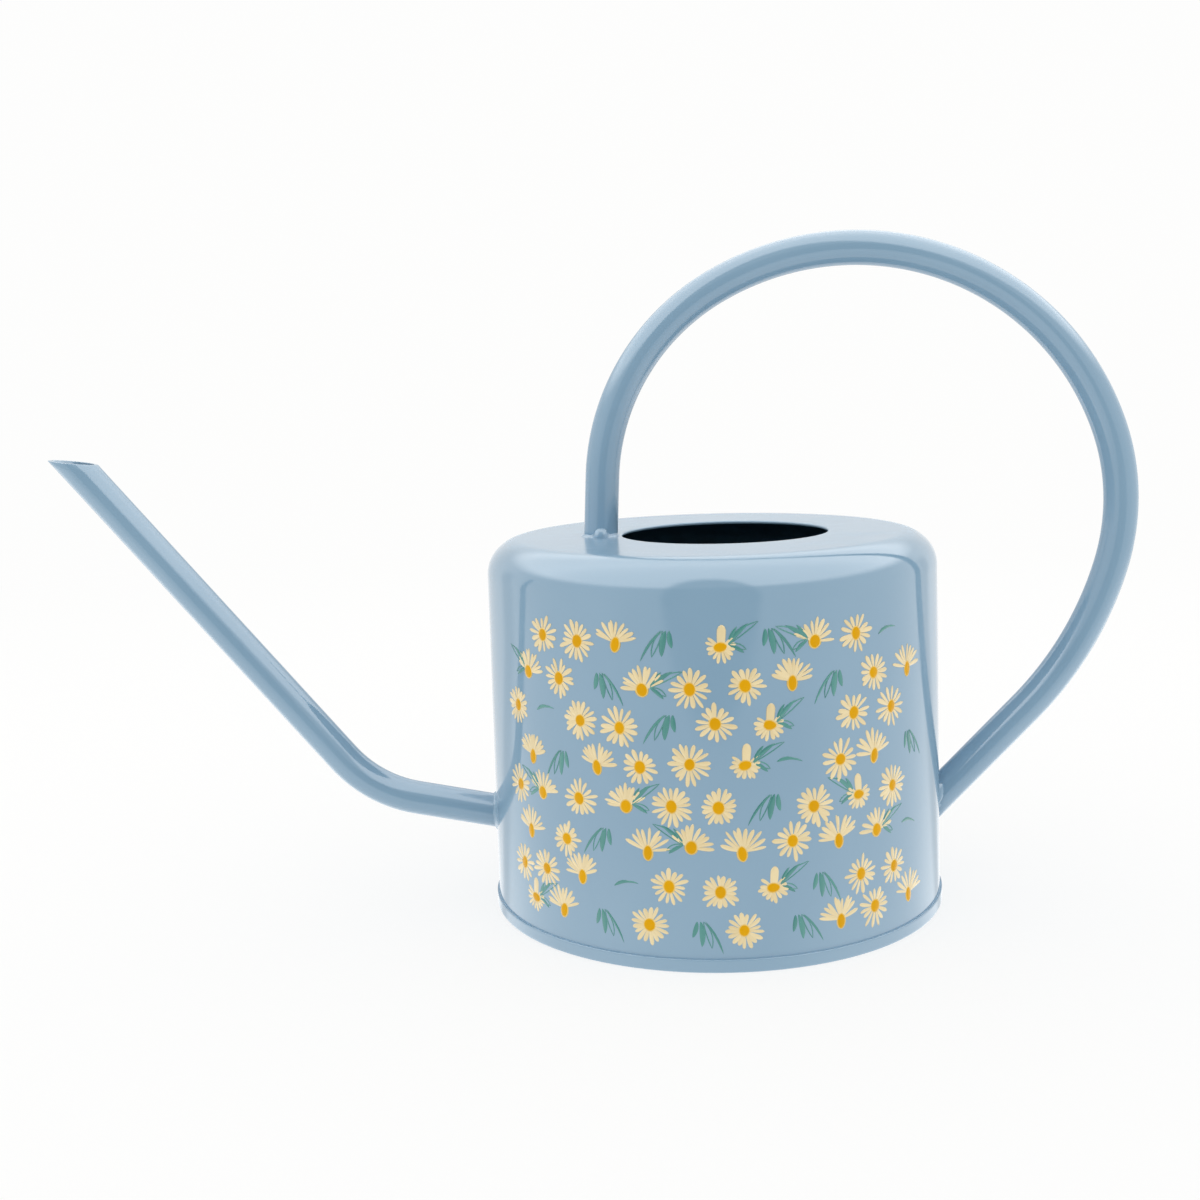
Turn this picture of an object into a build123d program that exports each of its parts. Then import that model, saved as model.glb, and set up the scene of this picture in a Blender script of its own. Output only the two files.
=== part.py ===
"""Long-spout watering can in painted sheet steel: a round drawn body, a bent tube spout and a tube hoop handle.

Millimetres, +Z up. The origin is on the floor, on the body's own axis. The handle is towards +X and the
spout towards -X, so Plane.XZ is the plane of symmetry.
"""

import os
from math import cos, radians, sin, tan

from build123d import *

os.makedirs("parts", exist_ok=True)

# Body shell, drawn in one piece, open at the bottom
body_radius = 80.0          # outside, at the bottom edge
wall_taper = 0.8            # how much the radius shrinks from the floor to the top
body_height = 131.8         # floor to the flat top
sheet = 0.6                 # thickness of the shell
shoulder_radius = 12.0      # outside bend from the wall to the top

# Filler opening in the top, its edge folded under into a closed hem
opening_radius = 36.4       # clear radius
opening_shift = 5.4         # from the body's axis towards the handle
hem_depth = 3.2             # how far the folded edge runs back under the top
hem_rounding = 0.9          # share of the sheet's thickness that rounds each edge of the hem

# Base plate, its rim pressed up round the bottom edge of the shell
plate_sheet = 0.6
rim_height = 4.5            # floor to the top edge of the rim
base_recess = 3.0           # floor to the underside of the raised panel
fold_radius = 0.8           # outside of the fold that the can stands on
panel_bend = 1.0            # bend from the inner upstand to the panel
seam_gap = 0.15             # between shell and plate all round the seam, filled with sealant
sealant_drop = 0.3          # sealant stops this far below the rim's edge
rim_rounding = 0.45         # share of the plate's thickness that rounds each edge of the rim

# Spout, one bent tube through a hole in the wall
spout_radius = 6.0          # outside
spout_wall = 1.0
spout_joint_height = 32.4   # where the tube's axis meets the wall
spout_root_rise = 11.6      # degrees above level, from the wall to the bend
spout_reach = 44.6          # level distance from the wall to the corner of the bend
spout_bend_radius = 45.0    # on the tube's axis
spout_rise = 51.0           # degrees above level, from the bend to the mouth
spout_height = 164.2        # floor to the middle of the mouth
mouth_tilt = 7.5            # degrees that the mouth's cut rises outwards, towards its tip
spout_stub = 3.5            # how far the tube's axis runs on inside the shell
spout_spare = 18.0          # bar swept on beyond the mouth before it is cut
hole_clearance = 0.1        # between the tube and the hole in the wall

# Handle, one tube bent into a hoop from the top of the shell to its wall
handle_radius = 6.0         # outside
handle_wall = 1.0
foot_gap = 1.5              # between the filler opening and the foot
foot_heading = 86.7         # degrees from +X at which the tube leaves the top
foot_run = 21.0             # straight run above the top
first_bends = ((79.0, 58.0), (98.0, 99.0), (80.0, 36.0))   # radius, degrees turned: front to back
last_bend_radius = 122.0
run_down = 45.0             # degrees below level at which the tube comes down to the wall
handle_joint_height = 31.0  # where the lower run's axis meets the wall
root_gap = 0.3              # left between the tube's ends and the shell for the weld to fill

weld_leg = 2.0              # fillet welds
weld_reach = 1.6            # in bar radii: edges whose centres are nearer a joint than this get a weld
hem_relief = 0.4            # the foot's weld stops this far from the filler opening


def wall_radius(height):
    """Outside radius of the tapered wall at a height."""
    return body_radius - wall_taper * height / body_height


def body_blank(grow):
    """Solid of the body's outside surface, grown by a distance, standing on the floor."""
    with BuildPart() as blank:
        Cone(
            bottom_radius=body_radius + grow,
            top_radius=body_radius - wall_taper + grow,
            height=body_height + grow,
            align=(Align.CENTER, Align.CENTER, Align.MIN),
        )
        fillet(blank.edges().sort_by(Axis.Z)[-1], shoulder_radius + grow)
    return blank.part


def tube(line, outer, inner=0.0):
    """Round bar or tube swept along a line, from its first point."""
    with BuildPart() as swept:
        add(line)
        with BuildSketch(Plane(origin=line @ 0, z_dir=line % 0)):
            Circle(outer)
            if inner:
                Circle(inner, mode=Mode.SUBTRACT)
        sweep()
    return swept.part


def weld(bar, bar_radius, joint):
    """Fillet weld round a bar where it leaves the body at a joint."""
    with BuildPart() as bead:
        add(body_outside)
        add(bar)
        near = bead.edges().filter_by(lambda edge: (edge.center() - joint).length < weld_reach * bar_radius)
        fillet(near.filter_by(lambda edge: edge.geom_type != GeomType.LINE), weld_leg)
        add(body_outside, mode=Mode.SUBTRACT)
        add(bar, mode=Mode.SUBTRACT)
    return bead.part


# Body shell
body_outside = body_blank(0.0)
wall_foot = plate_sheet + seam_gap

# The spout's axis: a low slope from inside the shell to the bend, then steeper to beyond the mouth
spout_joint = Vector(-wall_radius(spout_joint_height), 0, spout_joint_height)
root_slope = tan(radians(spout_root_rise))
bend_corner = (spout_joint.X - spout_reach, spout_joint_height + spout_reach * root_slope)
root_end = (spout_joint.X + sheet + spout_stub, spout_joint_height - (sheet + spout_stub) * root_slope)
mouth_run = (spout_height - bend_corner[1]) / sin(radians(spout_rise))
mouth_x = bend_corner[0] - mouth_run * cos(radians(spout_rise))
beyond_mouth = (
    mouth_x - spout_spare * cos(radians(spout_rise)),
    spout_height + spout_spare * sin(radians(spout_rise)),
)
with BuildLine(Plane.XZ) as spout_axis:
    FilletPolyline(root_end, bend_corner, beyond_mouth, radius=spout_bend_radius)
spout_line = spout_axis.line

with BuildPart() as body_shell:
    add(body_outside)
    split(bisect_by=Plane.XY.offset(wall_foot), keep=Keep.TOP)
    offset(amount=-sheet, openings=body_shell.faces().sort_by(Axis.Z)[0])
    # second layer of the hem, under the top
    with BuildSketch(Plane.XY.offset(body_height - sheet)):
        with Locations((opening_shift, 0)):
            Circle(opening_radius + hem_depth)
    extrude(amount=-sheet)
    with BuildSketch(Plane.XY.offset(body_height)):
        with Locations((opening_shift, 0)):
            Circle(opening_radius)
    extrude(amount=-hem_depth, mode=Mode.SUBTRACT)
    mouth_edges = body_shell.edges().filter_by(GeomType.CIRCLE).filter_by(
        lambda edge: abs(edge.radius - opening_radius) < 0.001
    )
    fillet(mouth_edges, hem_rounding * sheet)
    # hole for the spout
    add(tube(spout_line, spout_radius + hole_clearance), mode=Mode.SUBTRACT)
body_shell.part.label = "body_shell"
export_step(body_shell.part, "parts/body_shell.step")

# Base plate: a channel that takes the shell's edge, and a raised panel
lip_inner = body_radius + seam_gap
lip_outer = lip_inner + plate_sheet
upstand_outer = body_radius - sheet - seam_gap
upstand_inner = upstand_outer - plate_sheet
panel_top = base_recess + plate_sheet
with BuildPart() as base_plate:
    with BuildSketch(Plane.XZ) as plate_outline:
        with BuildLine():
            Polyline(
                (0, base_recess),
                (upstand_inner, base_recess),
                (upstand_inner, 0),
                (lip_outer, 0),
                (lip_outer, rim_height),
                (lip_inner, rim_height),
                (lip_inner, plate_sheet),
                (upstand_outer, plate_sheet),
                (upstand_outer, panel_top),
                (0, panel_top),
                close=True,
            )
        make_face()
        corners = plate_outline.vertices()
        fillet(corners.filter_by(lambda v: abs(v.Y) < 0.001), fold_radius)
        fillet(corners.filter_by(lambda v: abs(v.Y - rim_height) < 0.001), rim_rounding * plate_sheet)
        fillet(corners.filter_by(lambda v: abs(v.Y - panel_top) < 0.001 and v.X > 1), panel_bend)
    revolve(axis=Axis.Z)
base_plate.part.label = "base_plate"
export_step(base_plate.part, "parts/base_plate.step")

# Sealant in the channel between the shell and the plate
with BuildPart() as seam_sealant:
    with BuildSketch(Plane.XY.offset(plate_sheet)):
        Circle(lip_inner)
        Circle(upstand_outer, mode=Mode.SUBTRACT)
    extrude(amount=rim_height - sealant_drop - plate_sheet)
    with BuildSketch(Plane.XY.offset(base_recess)):
        Circle(body_radius - sheet)
    extrude(amount=rim_height, mode=Mode.SUBTRACT)
    add(body_shell.part, mode=Mode.SUBTRACT)
seam_sealant.part.label = "seam_sealant"
export_step(seam_sealant.part, "parts/seam_sealant.step")

# Spout tube, its mouth cut nearly level
mouth_plane = Plane(
    origin=(mouth_x, 0, spout_height),
    z_dir=(sin(radians(mouth_tilt)), 0, cos(radians(mouth_tilt))),
)
with BuildPart() as spout_tube:
    add(tube(spout_line, spout_radius, spout_radius - spout_wall))
    split(bisect_by=mouth_plane, keep=Keep.BOTTOM)
spout_tube.part.label = "spout_tube"
export_step(spout_tube.part, "parts/spout_tube.step")

# Handle hoop: its bends keep their proportions and are scaled together so that both ends land
foot_x = opening_shift - opening_radius - foot_gap - handle_radius
wall_x = wall_radius(handle_joint_height)
bends = list(first_bends)
bends.append((last_bend_radius, foot_heading + run_down + 90 - sum(turn for radius, turn in first_bends)))
travel_x = 0.0
travel_z = 0.0
heading = radians(foot_heading)
for radius, turn in bends:
    next_heading = heading - radians(turn)
    travel_x += radius * (sin(heading) - sin(next_heading))
    travel_z += radius * (cos(next_heading) - cos(heading))
    heading = next_heading
run_x = cos(heading)
run_z = sin(heading)
foot_rise = Vector(cos(radians(foot_heading)), 0, sin(radians(foot_heading)))
gap_x = wall_x - foot_x - foot_run * foot_rise.X
gap_z = handle_joint_height - body_height - foot_run * foot_rise.Z
spread = travel_x * run_z - travel_z * run_x
hoop_scale = (gap_x * run_z - gap_z * run_x) / spread
lower_run = (travel_x * gap_z - travel_z * gap_x) / spread
print("handle bends scaled by", round(hoop_scale, 4), "lower run", round(lower_run, 2))

foot = Vector(foot_x, 0, body_height)
bar_end = 2 * handle_radius     # the bar runs this far into the body before its ends are cut
with BuildLine(Plane.XZ) as handle_axis:
    piece = Line(foot - foot_rise * bar_end, foot + foot_rise * foot_run)
    for radius, turn in bends:
        piece = JernArc(piece @ 1, piece % 1, radius * hoop_scale, -turn)
    Line(piece @ 1, piece @ 1 + (piece % 1) * (lower_run + bar_end))
handle_line = handle_axis.line

with BuildPart() as handle_tube:
    add(tube(handle_line, handle_radius, handle_radius - handle_wall))
    add(body_blank(root_gap), mode=Mode.SUBTRACT)
handle_tube.part.label = "handle_tube"
export_step(handle_tube.part, "parts/handle_tube.step")

# Welds
handle_bar = tube(handle_line, handle_radius)
spout_bar = tube(spout_line, spout_radius)
handle_joint = Vector(wall_x, 0, handle_joint_height)
with BuildPart() as foot_weld:
    add(weld(handle_bar, handle_radius, foot))
    with BuildSketch(Plane.XY.offset(body_height)):
        with Locations((opening_shift, 0)):
            Circle(opening_radius + hem_relief)
    extrude(amount=2 * weld_leg, mode=Mode.SUBTRACT)
foot_weld.part.label = "foot_weld"
export_step(foot_weld.part, "parts/foot_weld.step")

with BuildPart() as handle_end_weld:
    add(weld(handle_bar, handle_radius, handle_joint))
handle_end_weld.part.label = "handle_end_weld"
export_step(handle_end_weld.part, "parts/handle_end_weld.step")

with BuildPart() as spout_weld:
    add(weld(spout_bar, spout_radius, spout_joint))
spout_weld.part.label = "spout_weld"
export_step(spout_weld.part, "parts/spout_weld.step")
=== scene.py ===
import math

import bmesh
import bpy
import numpy as np
from mathutils import Matrix, Vector


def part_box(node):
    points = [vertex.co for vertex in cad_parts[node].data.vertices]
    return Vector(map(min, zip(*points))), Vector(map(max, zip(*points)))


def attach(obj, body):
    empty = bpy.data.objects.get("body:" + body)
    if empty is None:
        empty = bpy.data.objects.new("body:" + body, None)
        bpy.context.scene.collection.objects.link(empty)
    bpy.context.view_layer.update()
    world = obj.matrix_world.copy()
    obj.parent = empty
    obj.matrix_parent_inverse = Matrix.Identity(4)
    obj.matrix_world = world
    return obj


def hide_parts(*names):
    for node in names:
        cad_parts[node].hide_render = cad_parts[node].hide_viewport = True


# Long-spout watering can in gloss blue enamel with two printed daisy panels.
# Everything is in metres; mm turns the sizes below into metres.
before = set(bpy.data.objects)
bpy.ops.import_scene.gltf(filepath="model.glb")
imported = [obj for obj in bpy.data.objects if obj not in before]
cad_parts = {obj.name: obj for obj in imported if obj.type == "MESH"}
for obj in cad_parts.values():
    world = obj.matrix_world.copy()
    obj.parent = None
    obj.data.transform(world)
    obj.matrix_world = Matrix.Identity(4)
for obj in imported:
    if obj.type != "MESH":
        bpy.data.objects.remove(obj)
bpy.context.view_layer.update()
mm = 0.001
shellLow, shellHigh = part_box("body_shell")
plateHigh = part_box("base_plate")[1]
print("frame loaded:", len(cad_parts), "nodes")


def gridFaces(rows, columns, closeRows=False, closeColumns=True, first=0):
    # quads of a rows x columns grid of vertices, numbered row by row
    i = np.arange(rows if closeRows else rows - 1)[:, None]
    j = np.arange(columns if closeColumns else columns - 1)[None, :]
    below, right = (i + 1) % rows, (j + 1) % columns
    quads = np.stack([i * columns + j, i * columns + right, below * columns + right, below * columns + j], -1)
    return quads.reshape(-1, 4) + first


def makePiece(name, points, faceSets, materials, replaces=(), merge=True):
    # one mesh from an array of points and arrays of faces, smooth and facing outwards
    faces = [face for faceSet in faceSets for face in np.asarray(faceSet).tolist()]
    mesh = bpy.data.meshes.new(name)
    mesh.from_pydata(np.asarray(points, float).reshape(-1, 3).tolist(), [], faces)
    for material in materials:
        mesh.materials.append(material)
    work = bmesh.new()
    work.from_mesh(mesh)
    if merge:
        bmesh.ops.remove_doubles(work, verts=work.verts, dist=1e-7)
    bmesh.ops.recalc_face_normals(work, faces=work.faces)
    work.to_mesh(mesh)
    work.free()
    mesh.polygons.foreach_set("use_smooth", np.ones(len(mesh.polygons), bool))
    piece = bpy.data.objects.new(name, mesh)
    bpy.context.scene.collection.objects.link(piece)
    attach(piece, "root")
    if replaces:
        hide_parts(*replaces)
    return piece


def arc(cx, cy, radius, start, end, count):
    # points on a circle from start to end, in degrees
    a = np.radians(np.linspace(start, end, count))
    return np.stack([cx + radius * np.cos(a), cy + radius * np.sin(a)], -1)


def line(x0, y0, x1, y1, count):
    t = np.linspace(0, 1, count)[:, None]
    return np.array([[x0, y0]]) * (1 - t) + np.array([[x1, y1]]) * t


def smooth(t):
    t = np.clip(t, 0, 1)
    return t * t * (3 - 2 * t)


class Wire:
    # one value, colour or vector in a node tree; + - * / on values add Math nodes
    def __init__(self, tree, socket=None):
        self.tree, self.socket = tree, socket

    def node(self, kind, settings=None, inputs=None, output=0):
        made = self.tree.nodes.new(kind)
        for key, value in (settings or {}).items():
            setattr(made, key, value)
        for key, value in (inputs or {}).items():
            if isinstance(value, Wire):
                self.tree.links.new(value.socket, made.inputs[key])
            else:
                made.inputs[key].default_value = value
        return Wire(self.tree, made.outputs[output])

    def other(self, output):
        return Wire(self.tree, self.socket.node.outputs[output])

    def maths(self, operation, *others):
        return self.node("ShaderNodeMath", {"operation": operation}, dict(enumerate((self,) + others)))

    def __add__(self, value):
        return self.maths("ADD", value)

    def __sub__(self, value):
        return self.maths("SUBTRACT", value)

    def __mul__(self, value):
        return self.maths("MULTIPLY", value)

    def __rsub__(self, value):
        return self * -1 + value

    __radd__ = __add__
    __rmul__ = __mul__

    def between(self, low, high, to=0.0, upTo=1.0):
        # smooth step of this value from low..high to to..upTo
        span = {"Value": self, "From Min": low, "From Max": high, "To Min": to, "To Max": upTo}
        return self.node("ShaderNodeMapRange", {"interpolation_type": "SMOOTHSTEP"}, span)

    def blend(self, first, second):
        # this value mixes two colours
        return self.node("ShaderNodeMix", {"data_type": "RGBA"}, {0: self, 6: first, 7: second}, 2)

    def axis(self, letter):
        return self.node("ShaderNodeSeparateXYZ", None, {"Vector": self}, letter)

    def noise(self, scale, detail=2.0, roughness=0.5):
        settings = {"Vector": self, "Scale": scale, "Detail": detail, "Roughness": roughness}
        return self.node("ShaderNodeTexNoise", None, settings)

    def bump(self, depth, strength=1.0):
        return self.node("ShaderNodeBump", None, {"Height": self, "Strength": strength, "Distance": depth})


def newMaterial(name, fixed):
    # a Principled material with its fixed values set, and its Object coordinates
    material = bpy.data.materials.new(name)
    material.use_nodes = True
    shader = material.node_tree.nodes["Principled BSDF"]
    for key, value in fixed.items():
        shader.inputs[key].default_value = value
    return material, shader, Wire(material.node_tree).node("ShaderNodeTexCoord", output="Object")


def plug(shader, **values):
    for key, value in values.items():
        value.tree.links.new(value.socket, shader.inputs[key.replace("_", " ")])


enamel = {
    "colour": (0.226, 0.358, 0.474, 1), "pooled": (0.214, 0.344, 0.460, 1), "dust": (0.33, 0.45, 0.56, 1),
    "roughness": 0.07, "ior": 1.5,
    "peelSize": 420, "peelDepth": 0.003 * mm, "sagSize": 45,        # orange peel, and the slow sag under it
    "speckSize": 2600, "speckSpan": (0.74, 0.80), "speckColour": 0.25, "speckDull": 0.15,
    "cloudSize": 22, "cloudSpan": (0.3, 0.7),
    "rubSize": 60, "rubSpan": (0.45, 0.75), "rubDull": 0.06,
    "topSpan": (129.5 * mm, 131.5 * mm),        # heights where the top's duller coat sets in
}


def blueEnamel(name, sag=1.5, duller=0.0):
    # gloss stove enamel: a little uneven in colour, orange peel in the gloss, dust specks and faint rub marks
    material, shader, at = newMaterial(name, {"IOR": enamel["ior"]})
    specks = at.noise(enamel["speckSize"], 1).between(*enamel["speckSpan"])
    cloud = at.noise(enamel["cloudSize"], 3).between(*enamel["cloudSpan"])
    rubbed = at.noise(enamel["rubSize"], 4, 0.65).between(*enamel["rubSpan"])
    clean = cloud.blend(enamel["colour"], enamel["pooled"])
    plug(shader, Base_Color=(specks * enamel["speckColour"]).blend(clean, enamel["dust"]))
    onTop = at.axis("Z").between(*enamel["topSpan"]) * duller
    dull = rubbed * enamel["rubDull"] + specks * enamel["speckDull"] + onTop
    plug(shader, Roughness=dull + enamel["roughness"])
    height = at.noise(enamel["peelSize"], 2) + at.noise(enamel["sagSize"], 1) * sag
    plug(shader, Normal=height.bump(enamel["peelDepth"]))
    return material


# the inside's colours are near black: painted shade for the unlit inside of the can
insideShade = {
    "dark": (0.018, 0.055, 0.085, 1), "pale": (0.050, 0.135, 0.200, 1), "ior": 1.45,
    "mottleSize": 160, "mottleSpan": (0.3, 0.7), "roughness": (0.55, 0.8), "depth": 0.05 * mm,
    "tidesPerMetre": 420, "tideWander": 3, "tideShare": 0.3,
}


def insideShadeCoat(name):
    # inside painted near black as painted shade for the unlit inside of the can, matt and mottled, with faint
    # tide lines
    material, shader, at = newMaterial(name, {"IOR": insideShade["ior"]})
    mottle = at.noise(insideShade["mottleSize"], 4, 0.6)
    waves = at.axis("Z") * insideShade["tidesPerMetre"] + at.noise(30) * insideShade["tideWander"]
    tide = waves.maths("SINE").between(0.6, 1)
    patchy = mottle * (1 - insideShade["tideShare"]) + tide * insideShade["tideShare"]
    plug(shader, Base_Color=patchy.blend(insideShade["dark"], insideShade["pale"]))
    plug(shader, Roughness=mottle.between(*insideShade["mottleSpan"], *insideShade["roughness"]))
    plug(shader, Normal=mottle.bump(insideShade["depth"], 0.6))
    return material


def paintedSealant(name):
    # sealant under the same paint, duller and finely wrinkled where it dried
    material, shader, at = newMaterial(name, {"IOR": enamel["ior"]})
    grain = at.noise(900, 3)
    plug(shader, Base_Color=grain.blend(enamel["pooled"], (0.19, 0.31, 0.42, 1)))
    plug(shader, Roughness=grain.between(0.2, 0.8, 0.3, 0.5))
    plug(shader, Normal=grain.bump(0.04 * mm))
    return material


def printInk(name, light, dark, ior=1.5, roughness=0.16):
    # screen-printed ink: each stroke has its own tint from the mesh, and a slightly streaky fill
    material, shader, at = newMaterial(name, {"IOR": ior})
    tint = at.node("ShaderNodeAttribute", {"attribute_name": "tint"}, None, "Fac")
    streaks = at.noise(1500, 3, 0.6)
    plug(shader, Base_Color=(tint * 0.7 + streaks * 0.3).blend(light, dark))
    plug(shader, Roughness=streaks.between(0.3, 0.7, roughness, roughness + 0.12))
    plug(shader, Normal=(at.noise(enamel["peelSize"]) + streaks * 0.15).bump(enamel["peelDepth"]))
    return material


bodyPaint = blueEnamel("bodyEnamel", 2.5, 0.13)
tubePaint = blueEnamel("tubeEnamel")
weldPaint = blueEnamel("weldEnamel", 2.0)
# the inside's near-black coat is painted shade
insidePaintedShade = insideShadeCoat("insidePaintedShade")
sealant = paintedSealant("paintedSealant")
inkCream = printInk("inkCream", (0.80, 0.66, 0.38, 1), (0.70, 0.565, 0.31, 1))
inkHalo = printInk("inkHalo", (0.78, 0.56, 0.16, 1), (0.70, 0.46, 0.11, 1), 1.3)
inkGold = printInk("inkGold", (0.74, 0.375, 0.002, 1), (0.66, 0.325, 0.001, 1), 1.18)
inkGreen = printInk("inkGreen", (0.070, 0.265, 0.235, 1), (0.042, 0.205, 0.185, 1))
print("materials ready")

# Shell: wall, shoulder, flat top and closed hem, one closed section carried round the body's axis
shell = {
    "radius": shellHigh.x, "taper": 0.8 * mm, "top": shellHigh.z, "foot": shellLow.z, "sheet": 0.6 * mm,
    "shoulder": 12.0 * mm, "openingRadius": 36.4 * mm, "openingShift": 5.4 * mm, "hemDepth": 3.2 * mm,
    "columns": 256, "wallRows": 61, "footLift": 0.2 * mm,
    "waviness": 0.03 * mm, "fade": 18 * mm,
    # waves of the wall: count around, phase, turn per metre up and share
    "waves": ((3, 0.7, 20, 1), (5, -1.1, 31, 0.6), (9, 0, 57, 0.4)),
}
spout = {
    "outer": 6.0 * mm, "wall": 1.0 * mm,
    "rootRise": 11.6, "rise": 51.0, "bend": 45.0 * mm, "reach": 44.6 * mm,
    "jointHeight": 32.4 * mm, "mouthHeight": 164.2 * mm, "mouthTilt": 7.5, "stub": 3.5 * mm, "hole": 6.1 * mm,
}


def wallRadius(angle, z):
    # tapered radius plus the long shallow waves that pressing leaves, fading out at the seam and the shoulder
    fade = smooth(z / shell["fade"]) * smooth((shell["top"] - shell["shoulder"] - z) / shell["fade"])
    waves = sum(share * np.sin(n * angle + phase + turn * z) for n, phase, turn, share in shell["waves"])
    return shell["radius"] - shell["taper"] * z / shell["top"] + shell["waviness"] * fade * waves


def shellSection():
    # the sheet's section: radius and height going up the outside, round the hem and down the inside
    sheet, top, bend = shell["sheet"], shell["top"], shell["shoulder"]
    topRadius, bendFoot = shell["radius"] - shell["taper"], top - bend
    nose, leafEnd = shell["openingRadius"] + sheet, shell["openingRadius"] + shell["hemDepth"]
    wall = line(shell["radius"], shell["foot"] + shell["footLift"], topRadius, bendFoot, shell["wallRows"])
    outside = [
        wall,
        arc(topRadius - bend, bendFoot, bend, 0, 90, 26)[1:],
        line(topRadius - bend, top, nose, top, 26)[1:],
        arc(nose, top - sheet, sheet, 90, 270, 13)[1:],
    ]
    inside = [
        line(nose, top - 2 * sheet, leafEnd, top - 2 * sheet, 4)[1:],
        line(leafEnd, top - sheet, topRadius - bend, top - sheet, 22),
        arc(topRadius - bend, bendFoot, bend - sheet, 90, 0, 26)[1:],
        (wall[::-1] - [sheet, 0])[1:],
    ]
    section = np.concatenate(outside + inside)
    near, far = leafEnd + 1 * mm, topRadius - bend
    shift = shell["openingShift"] * (1 - smooth((section[:, 0] - near) / (far - near)))
    return section, shift, sum(len(part) for part in outside)


def shellGrid(section, shift):
    # x = shift + radius cos angle, y = radius sin angle, with the pressed waves added to the wall rows
    angles = np.arange(shell["columns"]) * 2 * math.pi / shell["columns"]
    onWall = section[:, 1:2] < shell["top"] - shell["shoulder"] + 0.001 * mm
    plain = shell["radius"] - shell["taper"] * section[:, 1:2] / shell["top"]
    radii = section[:, :1] + onWall * (wallRadius(angles[None, :], section[:, 1:2]) - plain)
    x = shift[:, None] + radii * np.cos(angles)
    return np.stack([x, radii * np.sin(angles), section[:, 1:2] + 0 * angles], -1)


def cutSpoutHole(points, section, outsideRows):
    # a window of cells outside and inside gives way to rings that run in to a round hole through the sheet
    rows, columns, halfRows, halfColumns = len(section), shell["columns"], 5, 6
    middle = columns // 2
    row = int(np.argmin(abs(section[:shell["wallRows"], 1] - spout["jointHeight"])))
    kept = np.ones((rows, columns), bool)
    for level in (row, rows - 1 - row):
        kept[level - halfRows:level + halfRows, middle - halfColumns:middle + halfColumns] = False
    quads = gridFaces(rows, columns, closeRows=True).reshape(rows, columns, 4)
    # cells on the inside of the sheet, which take the painted shade of the inside
    shadePaintedInside = (np.arange(rows)[:, None] >= outsideRows - 1) & (np.arange(rows)[:, None] < rows - 1) & kept
    across, up = np.arange(-halfColumns, halfColumns), np.arange(-halfRows, halfRows)
    atSide, atEnd = np.full(2 * halfRows, halfColumns), np.full(2 * halfColumns, halfRows)
    edgeColumn = middle + np.concatenate([across, atSide, -across, -atSide])
    edgeRow = row + np.concatenate([-atEnd, up, atEnd, -up])
    flat = points.reshape(-1, 3)
    outer, inner = edgeRow * columns + edgeColumn, (rows - 1 - edgeRow) * columns + edgeColumn
    slope = math.tan(math.radians(spout["rootRise"]))
    shrink = (0.3, 0.6, 0.85, 1)      # how far each ring has gone from the window's edge to the hole
    rings = []
    for border, inward, shares in ((outer, 0.0, shrink), (inner, shell["sheet"], shrink[::-1])):
        centre = spout["jointHeight"] - inward * slope
        turn = np.arctan2(flat[border, 2] - centre, flat[border, 1])
        share = np.array(shares)[:, None]
        y = flat[border, 1] * (1 - share) + spout["hole"] * np.cos(turn) * share
        z = flat[border, 2] * (1 - share) + (centre + spout["hole"] * np.sin(turn)) * share
        radius = wallRadius(math.pi - np.arcsin(y / shell["radius"]), z) - inward
        rings.append(np.stack([-np.sqrt(radius ** 2 - y ** 2), y, z], -1))
    rings = np.concatenate(rings)
    ids = len(flat) + np.arange(rings.shape[0] * rings.shape[1]).reshape(rings.shape[:2])
    ids = np.concatenate([outer[None], ids, inner[None]])
    ringFaces = np.stack([ids[:-1], np.roll(ids, -1, 1)[:-1], np.roll(ids, -1, 1)[1:], ids[1:]], -1)
    ringIsInside = np.repeat(np.arange(len(ringFaces)) > len(ringFaces) // 2, ringFaces.shape[1])
    faces = np.concatenate([quads[kept], ringFaces.reshape(-1, 4)])
    points = np.concatenate([flat, rings.reshape(-1, 3)])
    return points, faces, np.concatenate([shadePaintedInside[kept], ringIsInside])


section, shift, outsideRows = shellSection()
shellPoints, shellFaces, isInside = cutSpoutHole(shellGrid(section, shift), section, outsideRows)
# the second material paints the inside near black as painted shade
coats = [bodyPaint, insidePaintedShade]
bodyShell = makePiece("bodyShell", shellPoints, [shellFaces], coats, ["body_shell"])
bodyShell.data.polygons.foreach_set("material_index", isInside.astype(np.int32))
print("shell:", len(shellFaces), "quads")

# Base plate: raised panel, upstand, fold that the can stands on, and the rim pressed round the shell's edge
plate = {
    "radius": plateHigh.x, "sheet": 0.6 * mm, "rim": 4.5 * mm, "recess": 3.0 * mm, "fold": 0.8 * mm,
    "panelBend": 1.0 * mm, "lipRound": 0.27 * mm, "upstandOuter": 79.25 * mm, "columns": 256,
}


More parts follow.
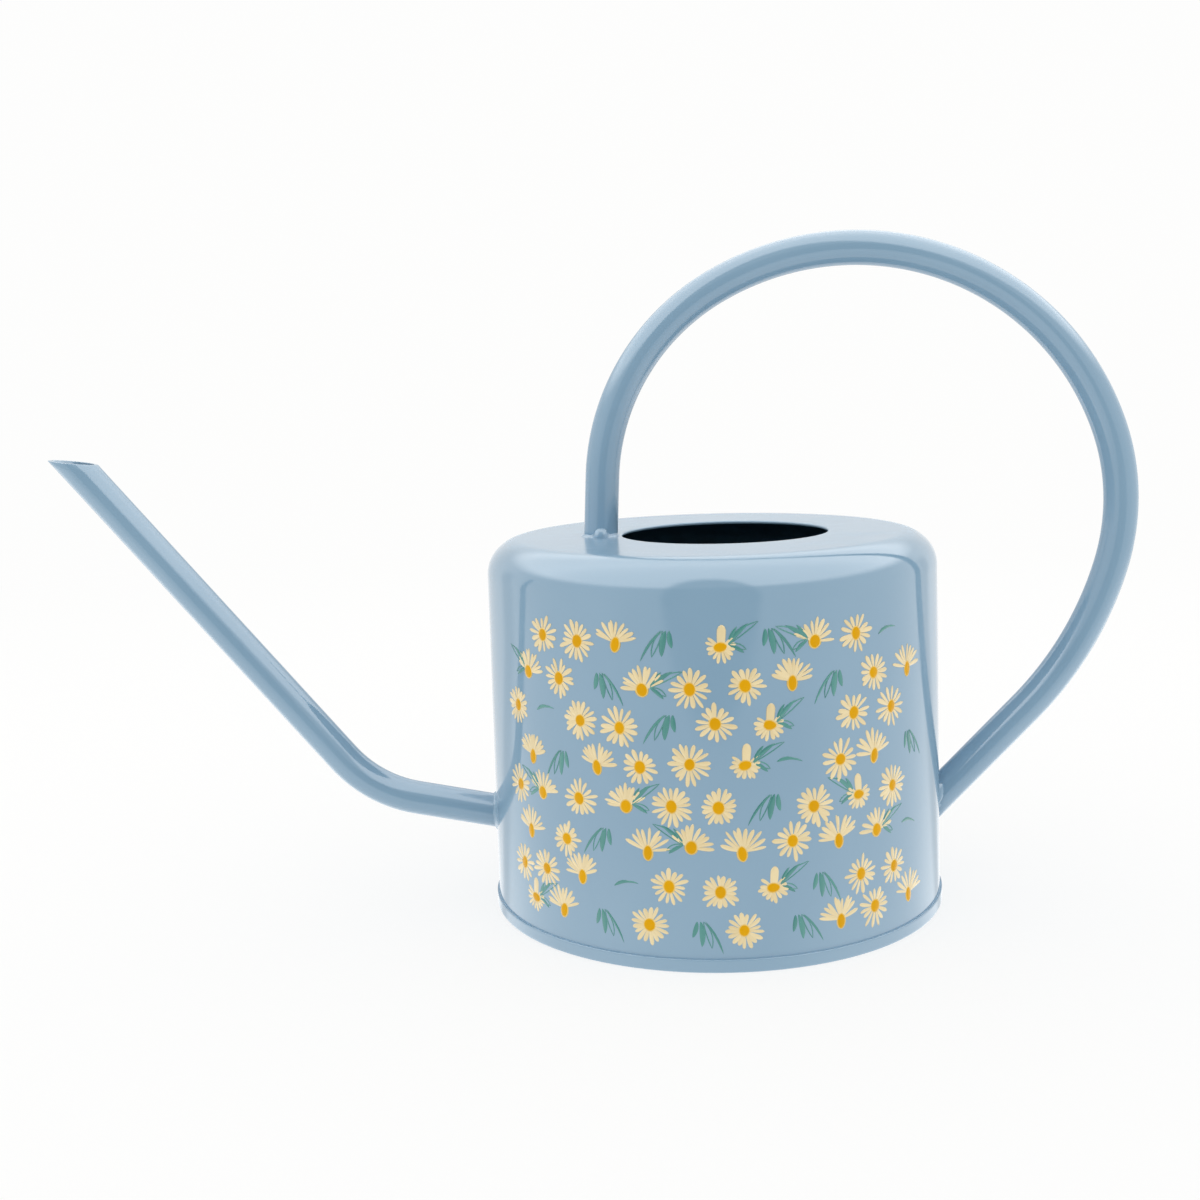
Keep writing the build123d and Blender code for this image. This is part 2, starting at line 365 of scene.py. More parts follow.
def plateSection():
    # from the middle underneath, round the fold and the rim, and back to the middle on top
    sheet, fold, lip = plate["sheet"], plate["fold"], plate["lipRound"]
    outer, inner = plate["radius"], plate["radius"] - sheet
    upOuter, upInner, top = plate["upstandOuter"], plate["upstandOuter"] - sheet, plate["recess"] + sheet
    return np.concatenate([
        line(0, plate["recess"], upInner, plate["recess"], 12),
        line(upInner, plate["recess"], upInner, fold, 3)[1:],
        arc(upInner + fold, fold, fold, 180, 270, 8)[1:],
        arc(outer - fold, fold, fold, 270, 360, 8),
        line(outer, fold, outer, plate["rim"] - lip, 9)[1:],
        arc(outer - lip, plate["rim"] - lip, lip, 0, 90, 5)[1:],
        arc(inner + lip, plate["rim"] - lip, lip, 90, 180, 5),
        line(inner, plate["rim"] - lip, inner, sheet, 4)[1:],
        line(inner, sheet, upOuter, sheet, 3)[1:],
        line(upOuter, sheet, upOuter, top - plate["panelBend"], 3)[1:],
        arc(upOuter - plate["panelBend"], top - plate["panelBend"], plate["panelBend"], 0, 90, 7)[1:],
        line(upOuter - plate["panelBend"], top, 0, top, 12)[1:],
    ])


def revolved(section, columns):
    # x = radius cos angle, y = radius sin angle, z = height
    a = np.arange(columns) * 2 * math.pi / columns
    radius, z = section[:, :1], section[:, 1:2]
    return np.stack([radius * np.cos(a), radius * np.sin(a), z + 0 * a], -1)


platePoints = revolved(plateSection(), plate["columns"])
plateFaces = gridFaces(len(platePoints), plate["columns"])
makePiece("basePlate", platePoints, [plateFaces], [bodyPaint], ["base_plate"])
print("base plate ready")

# Sealant in the seam between the wall and the rim, painted over, its top drawn in to a shallow dip
seam = {
    "inner": 79.7 * mm, "outer": 80.25 * mm, "foot": 0.75 * mm,
    "rimSide": 4.43 * mm, "wallSide": 4.78 * mm, "dip": 0.1 * mm,
}


def seamSection():
    # across the top, from the rim to the wall: a straight slope less 4 dip u (1 - u)
    u = np.linspace(0, 1, 9)
    radius = seam["outer"] + (seam["inner"] - seam["outer"]) * u
    height = seam["rimSide"] + (seam["wallSide"] - seam["rimSide"]) * u - 4 * seam["dip"] * u * (1 - u)
    bottom = line(seam["inner"], seam["foot"], seam["outer"], seam["foot"], 3)
    return np.concatenate([bottom, np.stack([radius, height], -1)])


seamPoints = revolved(seamSection(), plate["columns"])
seamFaces = gridFaces(len(seamPoints), plate["columns"], closeRows=True)
makePiece("seamSealant", seamPoints, [seamFaces], [sealant], ["seam_sealant"])
print("seam sealant ready")

# Bent tubes: runs and arcs in the x-z plane, as (length, 0) or (radius, degrees turned clockwise)
handle = {
    "outer": 6.0 * mm, "wall": 1.0 * mm, "foot": (-38.5 * mm, shell["top"]), "heading": 86.7,
    "footRun": 21.0 * mm, "lowerRun": 46.32 * mm, "bendScale": 0.9931, "rootGap": 0.3 * mm,
    "bends": ((79.0 * mm, 58.0), (98.0 * mm, 99.0), (80.0 * mm, 36.0), (122.0 * mm, 28.7)),
    "gape": 0.15, "gapeFrom": 2.0 * mm,      # the lower end gapes by this share of the drop below its middle
}
tubeColumns = 48
turns = np.arange(tubeColumns) * 2 * math.pi / tubeColumns


def bentPath(start, heading, steps, spacing=2.0 * mm):
    # an arc's point is its centre less radius times the right-hand normal at that heading
    at, heading = np.array(start, float), math.radians(heading)
    points, headings = [], []
    for size, turn in steps:
        if not turn:
            at = at + size * np.array([math.cos(heading), math.sin(heading)])
            continue
        turn = math.radians(turn)
        signed = math.copysign(size, turn)
        h = heading - np.linspace(0, turn, max(8, int(abs(size * turn) / spacing)))
        centre = at + signed * np.array([math.sin(heading), -math.cos(heading)])
        points.append(centre - signed * np.stack([np.sin(h), -np.cos(h)], -1))
        headings.append(h)
        at, heading = points[-1][-1], h[-1]
    points, headings = np.concatenate(points), np.concatenate(headings)
    fresh = np.concatenate([[True], np.linalg.norm(np.diff(points, axis=0), axis=1) > 1e-9])
    return points[fresh], headings[fresh]


def ringAt(point, heading, radius):
    # circle of a tube's section: point plus radius times (cos turn normal + sin turn Y)
    point, heading = np.asarray(point)[..., None, :], np.asarray(heading)[..., None]
    x = point[..., 0] - radius * np.cos(turns) * np.sin(heading)
    z = point[..., 1] + radius * np.cos(turns) * np.cos(heading)
    return np.stack([x, radius * np.sin(turns) + 0 * x, z], -1)


def ontoPlane(origin, normal):
    # each point slides along the tube until it is in the plane
    origin, normal = np.array(origin), np.array(normal)
    return lambda p, d: p + (((origin - p) @ normal) / (d @ normal))[..., None] * d


def ontoWall(gap, opening=0.0, below=0.0):
    # each point slides along the tube until its distance from the axis is the wall's radius plus a gap, which
    # opens by a share of the drop below a height
    def slide(p, d):
        for correction in range(4):      # the wall's waves are shallow, so four corrections settle it
            radius = wallRadius(np.arctan2(p[..., 1], p[..., 0]), p[..., 2]) + gap
            radius = radius + opening * np.maximum(below - p[..., 2], 0)
            a, b = d[0] ** 2 + d[1] ** 2, p[..., 0] * d[0] + p[..., 1] * d[1]
            c = p[..., 0] ** 2 + p[..., 1] ** 2 - radius ** 2
            root = np.sqrt(b ** 2 - a * c)
            first, second = (-b - root) / a, (-b + root) / a
            p = p + np.where(abs(first) < abs(second), first, second)[..., None] * d
        return p
    return slide


def tubePiece(name, path, headings, size, startCut, endCut, slot, node, lip=0.25 * mm, straightRows=16):
    # outer skin, rounded end, inner skin back and the other rounded end: a closed grid round the tube
    ends = [np.array([math.cos(h), 0, math.sin(h)]) for h in (headings[0], headings[-1])]
    share = np.linspace(0, 1, straightRows)[:, None, None]

    def skin(radius):
        rings = ringAt(path, headings, radius)
        first = startCut(rings[0], ends[0]) + lip * ends[0]
        last = endCut(rings[-1], ends[1]) - lip * ends[1]
        lead, tail = share[:-1], share[1:]
        head, foot = first * (1 - lead) + rings[0] * lead, rings[-1] * (1 - tail) + last * tail
        return np.concatenate([head, rings, foot])

    def rounded(cut, at, heading, along, inwards):
        rings = []
        for t in np.linspace(0, math.pi, 9)[1:-1]:
            radius = size["outer"] - size["wall"] / 2 * (1 - math.cos(t if inwards else math.pi - t))
            back = -along if inwards else along
            rings.append(cut(ringAt(at, heading, radius), along) + lip * (1 - math.sin(t)) * back)
        return np.array(rings)

    rows = np.concatenate([
        skin(size["outer"]), rounded(endCut, path[-1], headings[-1], ends[1], True),
        skin(size["outer"] - size["wall"])[::-1], rounded(startCut, path[0], headings[0], ends[0], False),
    ])
    makePiece(name, rows, [gridFaces(len(rows), tubeColumns, closeRows=True)], [tubePaint], [node])


jointRadius = shell["radius"] - shell["taper"] * spout["jointHeight"] / shell["top"]
spoutJoint = np.array([-jointRadius, spout["jointHeight"]])
rootSlope = math.tan(math.radians(spout["rootRise"]))
spoutCorner = spoutJoint + spout["reach"] * np.array([-1, rootSlope])
spoutRoot = spoutJoint + (shell["sheet"] + spout["stub"]) * np.array([1, -rootSlope])
bendTurn = spout["rise"] - spout["rootRise"]
bendStart = spout["bend"] * math.tan(math.radians(bendTurn / 2))     # corner to where the bend starts
rise, mouthTilt = math.radians(spout["rise"]), math.radians(spout["mouthTilt"])
mouthRun = (spout["mouthHeight"] - spoutCorner[1]) / math.sin(rise)
mouth = spoutCorner + mouthRun * np.array([-math.cos(rise), math.sin(rise)])
rootRun = math.dist(spoutRoot, spoutCorner) - bendStart
spoutPath = bentPath(spoutRoot, 180 - spout["rootRise"], ((rootRun, 0), (spout["bend"], bendTurn)))
rootAlong = (math.cos(spoutPath[1][0]), 0, math.sin(spoutPath[1][0]))
mouthNormal = (math.sin(mouthTilt), 0, math.cos(mouthTilt))
atRoot = ontoPlane((spoutRoot[0], 0, spoutRoot[1]), rootAlong)
atMouth = ontoPlane((mouth[0], 0, mouth[1]), mouthNormal)
tubePiece("spoutTube", *spoutPath, spout, atRoot, atMouth, "spout_paint", "spout_tube", straightRows=40)

bends = tuple((radius * handle["bendScale"], turn) for radius, turn in handle["bends"])
handlePath = bentPath(handle["foot"], handle["heading"], ((handle["footRun"], 0),) + bends)
onTop = ontoPlane((0, 0, shell["top"] + handle["rootGap"]), (0, 0, 1))
wallAngle = handlePath[1][-1]
lowerEnd = handlePath[0][-1] + handle["lowerRun"] * np.array([math.cos(wallAngle), math.sin(wallAngle)])
onWall = ontoWall(handle["rootGap"], handle["gape"], lowerEnd[1] - handle["gapeFrom"])
tubePiece("handleTube", *handlePath, handle, onTop, onWall, "handle_paint", "handle_tube")
print("tubes ready")

# Fillet welds, their legs uneven as a hand-held torch leaves them
weld = {
    "leg": 1.7 * mm, "sunk": 0.25 * mm, "inset": 0.6 * mm, "hollow": 0.4, "swell": 1.1,
    "ripple": 0.05 * mm, "ripples": 34, "rows": 10, "finer": 4,
    # a blob on each handle weld: its place in degrees, height and spread
    "footBlob": (272, 2.6 * mm, 1.0 * mm), "sideBlob": (290, 2.6 * mm, 1.0 * mm),
}


def weldBead(name, at, heading, land, legOut, legUp, node):
    # from the bar down a hollow curve to the body, then back under the body's skin and up inside the bar
    away = np.array([math.cos(heading), 0, math.sin(heading)])
    columns = tubeColumns * weld["finer"]
    around = np.arange(columns) * 2 * math.pi / columns

    def landed(radius):
        x = at[0] - radius * np.cos(around) * math.sin(heading)
        z = at[1] + radius * np.cos(around) * math.cos(heading)
        return land(np.stack([x, radius * np.sin(around), z], -1), away)

    reach, height = legOut(around), legUp(around)
    bar = handle["outer"] + np.minimum(reach, 0)      # a negative leg draws back inside the bar
    root, out = landed(bar), landed(handle["outer"] + reach)
    up = root + height[:, None] * away
    full = np.clip((height - weld["leg"]) / weld["leg"], 0, 1)[:, None]
    hollow = weld["hollow"] - weld["swell"] * full      # a lump swells where a fillet is hollow
    bend = root * hollow + (up + out) / 2 * (1 - hollow)
    t = np.linspace(0, 1, weld["rows"])[:, None, None]
    bead = up * (1 - t) ** 2 + bend * 2 * t * (1 - t) + out * t ** 2
    coins = np.sin(around * weld["ripples"] + 1.5 * np.sin(around * 3)) * weld["ripple"]
    bead = bead + (np.sin(math.pi * t) * coins[:, None]) * away
    inner, under = landed(bar - weld["inset"]), weld["sunk"] * away
    closing = np.array([out - under, inner - under, inner + 0.9 * height[:, None] * away])
    rows = np.concatenate([bead, closing])
    makePiece(name, rows, [gridFaces(len(rows), len(around), closeRows=True)], [weldPaint], [node])


def uneven(size, *waves):
    # size plus a sum of share sin(count turn + phase)
    return lambda a: size * (1 + sum(share * np.sin(count * a + phase) for share, count, phase in waves))


def lump(a, place, width, flatness=2):
    # bell of height 1 round the bar at a place, in degrees, flatter on top with a higher power
    away = (a - math.radians(place) + math.pi) % (2 * math.pi) - math.pi
    return np.exp(-np.abs(away / math.radians(width)) ** flatness)


footBlob, footHigh, footWide = weld["footBlob"]
footOut = uneven(weld["leg"] * 0.65, (0.10, 3, 0.5), (0.05, 8, 1.0))
footUp = uneven(weld["leg"] * 0.55, (0.14, 2, 1.0), (0.06, 7, 0.0))
footHeading = math.radians(handle["heading"])
weldBead(
    "footWeld", handle["foot"], footHeading, ontoPlane((0, 0, shell["top"]), (0, 0, 1)),
    lambda a: footOut(a) * (1 - 0.62 * lump(a, 180, 55)) + footWide * lump(a, footBlob, 27, 4),
    lambda a: footUp(a) + footHigh * lump(a, footBlob, 25, 4), "foot_weld",
)
sideBlob, sideHigh, sideWide = weld["sideBlob"]
sideOut = uneven(weld["leg"], (0.12, 3, 2.0), (0.06, 9, 0.3))
sideUp = uneven(weld["leg"] * 0.8, (0.2, 2, 0.4), (0.08, 7, 0.9))


def missed(a):
    # the stretch underneath that the torch missed
    return lump(a, 214, 46, 6)


weldBead(
    "handleEndWeld", lowerEnd, wallAngle + math.pi, ontoWall(0),
    lambda a: sideOut(a) * (1 - 1.6 * missed(a)) + sideWide * lump(a, sideBlob, 24, 4),
    lambda a: sideUp(a) + 1.2 * mm * missed(a) + sideHigh * lump(a, sideBlob, 22, 4),
    "handle_end_weld",
)
rootOut = uneven(weld["leg"] * 0.8, (0.14, 4, 1.2), (0.07, 9, 0.4))
rootUp = uneven(weld["leg"] * 0.7, (0.16, 3, 0.2), (0.08, 11, 0.9))
weldBead("spoutWeld", spoutJoint, spoutPath[1][0], ontoWall(0), rootOut, rootUp, "spout_weld")
print("welds ready")

# Daisy print: each stroke is a thin closed lens laid on the wall, x along the wall and y up it
daisies = {
    "pitch": 11.3, "firstColumn": -57.0, "lowestRow": 14.5 * mm, "rise": 13.0 * mm, "stagger": 2.8,
    "jitterAngle": 1.2, "jitterHeight": 1.4 * mm, "petal": 6.2 * mm, "heart": 2.0 * mm, "seed": 7,
    "petalWidth": 1.42 * mm, "fanWidth": 1.3 * mm, "budWidth": 1.25 * mm, "budPetal": 2.9 * mm,
    "outline": 0.42 * mm, "haloGrow": 0.7 * mm, "lift": 0.045 * mm, "liftVary": 0.012 * mm, "sink": 0.04 * mm,
    "layers": {"petals": 1.0, "halos": 1.6, "hearts": 2.3, "leaves": 1.0},      # heights in lifts
    "panels": (0, 180),
    # leaves of a spray beside a flower: direction, length in petals, width in mm and whether it is outlined
    "spray": (
        (33, 1.9, 1.7, True), (42, 1.45, 1.5, False), (60, 1.0, 1.2, False),
        (-20, 0.95, 1.6, True), (-32, 0.9, 1.3, False),
    ),
    # leaves of a hanging tuft: the same, then the place of its top
    "tuft": (
        (-24, 0.9, 1.7, False, -0.45), (-6, 1.35, 2.1, False, -0.1),
        (8, 1.5, 1.7, True, 0.2), (19, 1.95, 0.9, False, 0.4),
    ),
    # F open flower, H h r fan-shaped ones, P q buds, T tuft of leaves, S thin sprig and . nothing
    "rows": (
        ". F F H T P T h F S",
        "h F T r F F H T F H",
        "F S F F T F P . F F",
        "H T H F F P S F H T",
        "F h F r F F T F q F",
        "H F T H h H F H r S",
        "F F H S F F P T F F",
        "P H T F T F T H F H",
    ),
}
draw = np.random.default_rng(daisies["seed"])
lens = np.array([(-1, -1), (-0.82, 0.7), (0, 1), (0.82, 0.7), (1, -1), (0, -1)])     # a stroke's section
strokeStations = 8


def strokes(x, y, direction, length, width, bow=0.0, base=0.5, swell=0.0):
    # rows of numbers for strokes: start, direction in degrees, length, width, sideways bow and shape
    every = np.broadcast_arrays(x, y, direction, length, width, bow, base, swell)
    return np.stack([np.atleast_1d(one).astype(float) for one in every], -1)


def strokeMesh(name, rows, places, layer, material, slot):
    # half width = width/2 (base + (1 - base) smooth(1.7 u)) tip(u), or width/2 (4 u (1 - u)) to the power of
    # swell where that isn't 0; the stroke lies along a line bowed by 4 bow u (1 - u)
    x, y, direction, length, width, bow, base, swell = rows.T[:, :, None]
    u = (1 - np.cos(np.linspace(0.06, 0.94, strokeStations) * math.pi))[None, :] / 2
    tip = np.sqrt(np.clip(1 - np.clip((u - 0.72) / 0.28, 0, 1) ** 2, 0, 1)) * np.sqrt(np.clip(u / 0.1, 0, 1))
    half = width / 2 * (base + (1 - base) * smooth(u * 1.7)) * tip
    half = np.where(swell == 0, half, width / 2 * (4 * u * (1 - u)) ** swell)
    ends = np.array([[0.0, 1.0]])
    aim = np.radians(direction)

    def centre(u):
        side = bow * 4 * u * (1 - u)
        across, along = u * np.cos(aim) - side * np.sin(aim), u * np.sin(aim) + side * np.cos(aim)
        return x + length * across, y + length * along

    slope = np.arctan(bow * 4 * (1 - 2 * u)) + aim
    cx, cy = centre(u)
    px = cx[..., None] - half[..., None] * lens[:, 0] * np.sin(slope)[..., None]
    py = cy[..., None] + half[..., None] * lens[:, 0] * np.cos(slope)[..., None]
    raised = daisies["lift"] * layer + daisies["liftVary"] * draw.random((len(rows), 1, 1))
    level = np.where(lens[:, 1] > 0, raised * lens[:, 1], -daisies["sink"]) + 0 * px
    ex, ey = centre(ends)
    sides = len(lens)
    count = strokeStations * sides
    px = np.concatenate([px.reshape(len(rows), -1), ex], 1)
    py = np.concatenate([py.reshape(len(rows), -1), ey], 1)
    level = np.concatenate([level.reshape(len(rows), -1), 0 * ex - daisies["sink"] * 0.3], 1)
    angle = np.radians(-90 + places[:, :1]) + px / shell["radius"]
    z = places[:, 1:] + py
    radius = wallRadius(angle, z) + level
    points = np.stack([radius * np.cos(angle), radius * np.sin(angle), z], -1)
    ring = np.arange(sides)
    after, last = (ring + 1) % sides, count - sides
    caps = np.concatenate([
        np.stack([ring, after, np.full(sides, count)], -1),
        np.stack([ring + last, after + last, np.full(sides, count + 1)], -1),
    ])
    first = (np.arange(len(rows)) * (count + 2))[:, None, None]
    faces = [(gridFaces(strokeStations, sides) + first).reshape(-1, 4), (caps + first).reshape(-1, 3)]
    piece = makePiece(name, points, faces, [material], merge=False)
    tint = piece.data.attributes.new("tint", "FLOAT", "POINT")
    tint.data.foreach_set("value", np.repeat(draw.random(len(rows)), count + 2).astype(np.float32))


def fan(count, middle, spread, reach, width, start, vary=0.10):
    # petals from a ring of radius start, fanned evenly over a spread of degrees about a middle direction
    closed = spread >= 360
    share = (np.arange(count) + 0.5) / count - 0.5 if closed else np.linspace(-0.5, 0.5, count)
    angle = middle + share * spread + draw.normal(0, 120 / count / 4, count)
    a = np.radians(angle)
    length = reach * (1 + draw.uniform(-vary, vary, count)) - start
    widths = width * (1 + draw.uniform(-0.22, 0.22, count))
    bow = draw.normal(0, 0.018, count)
    return strokes(start * np.cos(a), start * np.sin(a), angle, length, widths, bow, 0.55)


def oval(wide, tall, x=0.0, y=0.0):
    # a flower heart: one stroke that is an ellipse
    return strokes(x, y - tall, 90 + draw.normal(0, 6), 2 * tall, 2 * wide, draw.normal(0, 0.02), 0, 0.5)


def leaf(direction, length, width, x=0.0, y=0.0, outlined=False, bow=0.06):
    # a solid leaf is one pointed stroke; an outlined one is two thin strokes that part and meet again
    if not outlined:
        return strokes(x, y, direction, length, width, bow, 0, 0.7)
    spread = width / length / 2
    return strokes(x, y, [direction] * 2, length, daisies["outline"], [bow + spread, bow - spread], 0.9)


def openFlower(full, heart, scale):
    # petals all round the heart
    count, middle = draw.integers(14, 18), draw.uniform(0, 360)
    petals = [fan(count, middle, 360, full * scale, daisies["petalWidth"], 0.7 * heart, 0.14)]
    return petals, [oval(heart * draw.uniform(0.9, 1.05), heart * draw.uniform(0.85, 1.0))]


def fanFlower(kind, full, heart, scale):
    # a flower seen from the side; h and r lean to the left and the right and carry leaves
    middle = draw.uniform(80, 100) + {"H": 0, "h": -14, "r": 16}[kind]
    petals = [fan(draw.integers(9, 12), middle, 150, full * 1.22 * scale, daisies["fanWidth"], 0.5 * heart)]
    return petals, [oval(heart * 0.78, heart * 1.15, 0, -0.3 * heart) if kind == "H" else oval(heart, heart)]


def bud(full, heart):
    # one broad petal stands up and the others are folded back below it
    petals = [strokes(0, 0, 90 + draw.normal(0, 4), full * 1.12, daisies["budPetal"], 0.0, 0.85)]
    petals.append(fan(12, 270, 250, full * 0.78, daisies["budWidth"], 0.6 * heart))
    return petals, [oval(heart * 1.15, heart * 0.68)]


def spray(side, full, heart):
    # leaves that spread from one side of a flower, side being 1 to the right and -1 to the left
    lean = draw.normal(0, 4)
    leaves = []
    for direction, length, width, outlined in daisies["spray"]:
        turned = direction + lean if side > 0 else 180 - direction - lean
        start = heart * 1.15 * side
        leaves.append(leaf(turned, length * full, width * mm, start, full * 0.12, outlined, 0.05 * side))
    return leaves


def tuft(full):
    # leaves that hang from one point, leaning to either side
    lean = draw.choice([-1, 1]) * draw.uniform(8, 18)
    mirror = math.copysign(1, lean)
    leaves = []
    for direction, length, width, outlined, place in daisies["tuft"]:
        turned, start = -90 + mirror * direction + lean, mirror * place * full / 2
        leaves.append(leaf(turned, length * full, width * mm, start, full * 0.6, outlined, 0.05 * mirror))
    return leaves


def sprig(full):
    # two thin blades from one point
    tilt = draw.uniform(-12, 12)
    long = leaf(tilt, full * 1.4, 0.8 * mm, -full * 0.7, 0, False, 0.12)
    return [long, leaf(tilt + 9, full * 0.95, 1.2 * mm, -full * 0.7, 0, False, 0.10)]


def motif(kind):
    # strokes of one motif by ink: petals, hearts and leaves
    full, heart, scale = daisies["petal"], daisies["heart"], draw.uniform(0.92, 1.08)
    petals, hearts, leaves = [], [], []
    if kind == "F":
        petals, hearts = openFlower(full, heart, scale)
    elif kind in "Hhr":
        petals, hearts = fanFlower(kind, full, heart, scale)
    elif kind in "Pq":
        petals, hearts = bud(full, heart)
    if kind in "hrPq":
        leaves = spray(-1 if kind in "hq" else 1, full, heart)
    elif kind == "T":
        leaves = tuft(full)
    elif kind == "S":
        leaves = sprig(full)
    return petals, hearts, leaves


printed = {"petals": [], "hearts": [], "leaves": []}
for turn in daisies["panels"]:
    for level, text in enumerate(daisies["rows"][::-1]):
        for column, kind in enumerate(text.split()):
            if kind == ".":
                continue
            angle = daisies["firstColumn"] + daisies["pitch"] * column + daisies["stagger"] * (-1) ** level
            angle += turn + draw.uniform(-1, 1) * daisies["jitterAngle"]
            height = daisies["lowestRow"] + daisies["rise"] * level
            height += draw.uniform(-1, 1) * daisies["jitterHeight"]
            for ink, found in zip(printed, motif(kind)):
                printed[ink] += [(rows, np.tile([angle, height], (len(rows), 1))) for rows in found]

gathered = {ink: [np.concatenate(part) for part in zip(*found)] for ink, found in printed.items()}
halo = gathered["hearts"][0].copy()      # each heart again, larger all round
halo[:, 1] -= daisies["haloGrow"] / 2
halo[:, 3:5] += daisies["haloGrow"]
layers = daisies["layers"]
strokeMesh("printPetals", *gathered["petals"], layers["petals"], inkCream, "print_petals")
strokeMesh("printHalos", halo, gathered["hearts"][1], layers["halos"], inkHalo, "print_hearts")
strokeMesh("printHearts", *gathered["hearts"], layers["hearts"], inkGold, "print_hearts")
strokeMesh("printLeaves", *gathered["leaves"], layers["leaves"], inkGreen, "print_leaves")
print("print:", {ink: len(rows[0]) for ink, rows in gathered.items()}, "strokes")

# Studio: pale floor and a white room with two dim flags behind, a dark spot in front and a bright ceiling
studio = {
    "floorSize": 12.0, "floorColour": (0.97, 0.97, 0.965, 1), "floorMottle": (0.965, 0.965, 0.96, 1),
    "floorGlow": 0.75, "floorFade": (0.3, 1.1), "seen": (0.985, 0.985, 0.980, 1), "fill": 1.04,
    # levels of the mirrored room, and the spans of direction over which one goes over to the next
    "front": 1.25, "sides": 1.7, "back": 1.05, "sidesSpan": (-0.9, -0.4), "backSpan": (0.5, 0.95),
    "table": 1.45, "tableSpan": (-0.45, -0.2), "ground": 0.8, "groundSpan": (-0.8, -0.45),
    "softbox": 4.4, "softboxSpan": (0.32, 0.52), "farSoftbox": 0.45, "farSpan": (0.2, 0.7),
    "flagFrom": 45, "flagTo": 57, "flagSoft": 4, "flagShade": 0.68, "flagLean": 123,
    "flagFoot": -0.17, "flagHead": (0.1, 0.3),
    "darkMiddle": (-0.065, -0.12), "darkWide": 0.41, "darkUp": 0.9, "darkDown": 0.10, "darkSoft": 0.2,
    "darkShade": 0.2, "darkSpan": (-0.5, -0.3),
}


def whiteRoom():
    # soft even fill for shading, and for gloss a room by direction: front, sides, back, bright table, dim
    # straight down, a softbox over everything, two dim flags behind and the unlit end of the room in front
    world = bpy.data.worlds.new("studioRoom")
    world.use_nodes = True
    bpy.context.scene.world = world
    tree = world.node_tree
    at = Wire(tree).node("ShaderNodeTexCoord", output="Generated")
    x, y, z = at.axis("X"), at.axis("Y"), at.axis("Z")
    level = y.between(*studio["sidesSpan"], studio["front"], studio["sides"])
    level = level - y.between(*studio["backSpan"]) * (studio["sides"] - studio["back"])
    level = level * z.between(*studio["tableSpan"], studio["table"], 1)
    level = level * z.between(*studio["groundSpan"], studio["ground"], 1)
    overhead = z.between(*studio["softboxSpan"]) * (studio["softbox"] - studio["back"])
    level = level + overhead * y.between(*studio["farSpan"], 1, studio["farSoftbox"])
    off = x.maths("ABSOLUTE").maths("ARCTAN2", y) * math.degrees(1)      # degrees from the far direction
    off = off - (z - studio["flagFoot"]).maths("MINIMUM", 0) * studio["flagLean"]
    soft = studio["flagSoft"]
    flag = off.between(studio["flagFrom"] - soft, studio["flagFrom"] + soft)
    flag = flag * (1 - off.between(studio["flagTo"] - soft, studio["flagTo"] + soft))
    flag = flag * (1 - z.between(*studio["flagHead"]))
    wide = (x - studio["darkMiddle"][0]) * (1 / studio["darkWide"])
    high = z - studio["darkMiddle"][1]
    above, under = high.maths("MAXIMUM", 0), high.maths("MINIMUM", 0)
    high = above * (1 / studio["darkUp"]) - under * (1 / studio["darkDown"])
    dark = 1 - (wide * wide + high * high).between(1 - studio["darkSoft"], 1 + studio["darkSoft"])
    dark = dark * (1 - y.between(*studio["darkSpan"]))
    level = level * (1 - flag * (1 - studio["flagShade"])) * (1 - dark * (1 - studio["darkShade"]))
    mirrored = level.node("ShaderNodeCombineXYZ", None, {"X": level, "Y": level, "Z": level})
    rays = at.node("ShaderNodeLightPath", output="Is Camera Ray")
    fill = [studio["fill"]] * 3 + [1]
    lit = rays.other("Is Glossy Ray").blend(fill, mirrored)
    tree.links.new(rays.blend(lit, studio["seen"]).socket, tree.nodes["Background"].inputs["Color"])


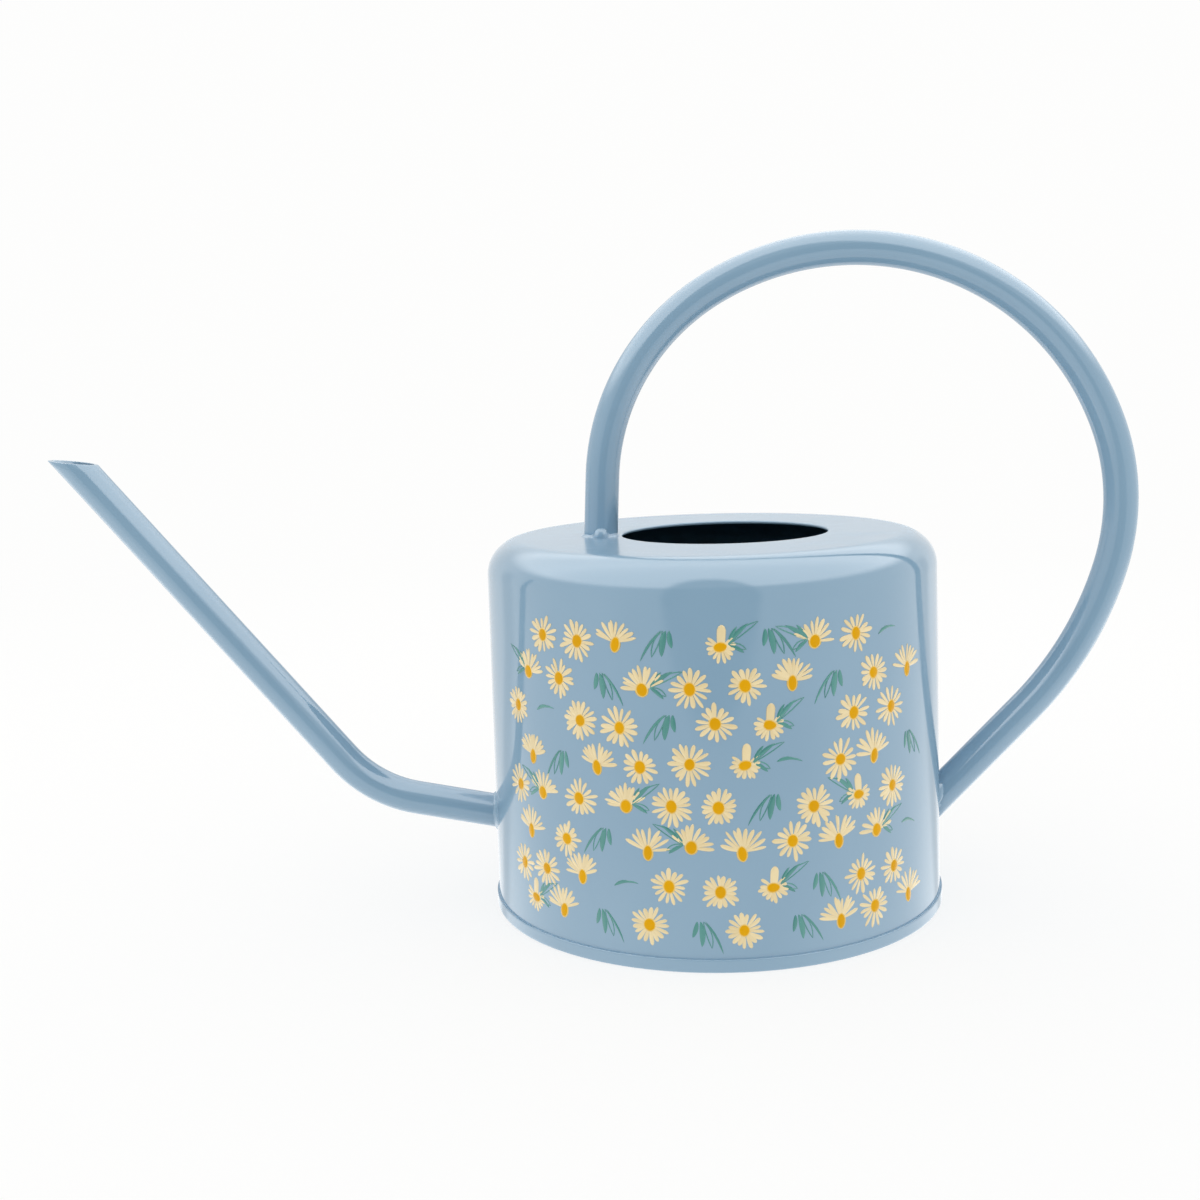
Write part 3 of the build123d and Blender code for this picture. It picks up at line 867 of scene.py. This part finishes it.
def paleFloor():
    # a square sheet whose paint goes over to plain light away from the can, so that no horizon shows
    half = studio["floorSize"] / 2
    mesh = bpy.data.meshes.new("floor")
    corners = [(-half, -half, 0), (half, -half, 0), (half, half, 0), (-half, half, 0)]
    mesh.from_pydata(corners, [], [(0, 1, 2, 3)])
    material, shader, at = newMaterial("paleFloor", {"Roughness": 0.9, "Specular IOR Level": 0.1})
    plug(shader, Base_Color=at.noise(3, 2).blend(studio["floorColour"], studio["floorMottle"]))
    glow = at.node("ShaderNodeEmission", None, {"Color": studio["seen"]})
    away = at.node("ShaderNodeVectorMath", {"operation": "LENGTH"}, {0: at}, 1)
    away = away.between(*studio["floorFade"], studio["floorGlow"], 1)
    tree = material.node_tree
    mixed = at.node("ShaderNodeMixShader", None, {0: away, 1: Wire(tree, shader.outputs[0]), 2: glow})
    tree.links.new(mixed.socket, tree.nodes["Material Output"].inputs["Surface"])
    mesh.materials.append(material)
    sheet = bpy.data.objects.new("floor", mesh)
    sheet.visible_glossy = False      # the gloss mirrors the room's own lower half, as a lit table would look
    bpy.context.scene.collection.objects.link(sheet)
    return sheet


whiteRoom()
floor = paleFloor()
bpy.context.scene.view_settings.view_transform = "Standard"

# Camera: a little above the can, in front of it, looking slightly down
cameraPlace = {"at": (-39.65 * mm, -542.67 * mm, 191.44 * mm), "down": 8.667, "roll": -1.978, "lens": 46.02}


def aimedCamera(place):
    # right, up and back axes from the downward tilt, then turned about the view direction by the roll
    down, roll = math.radians(place["down"]), math.radians(place["roll"])
    ahead = Vector((0, math.cos(down), -math.sin(down)))
    right, up = Vector((1, 0, 0)), Vector((1, 0, 0)).cross(ahead)
    rolledRight = right * math.cos(roll) + up * math.sin(roll)
    rolledUp = up * math.cos(roll) - right * math.sin(roll)
    data = bpy.data.cameras.new("camera")
    data.lens, data.sensor_width, data.clip_start, data.clip_end = place["lens"], 36, 0.01, 50
    camera = bpy.data.objects.new("camera", data)
    turned = Matrix((rolledRight, rolledUp, -ahead)).transposed().to_4x4()
    camera.matrix_world = Matrix.Translation(place["at"]) @ turned
    bpy.context.scene.collection.objects.link(camera)
    bpy.context.scene.camera = camera


aimedCamera(cameraPlace)
print("ready")
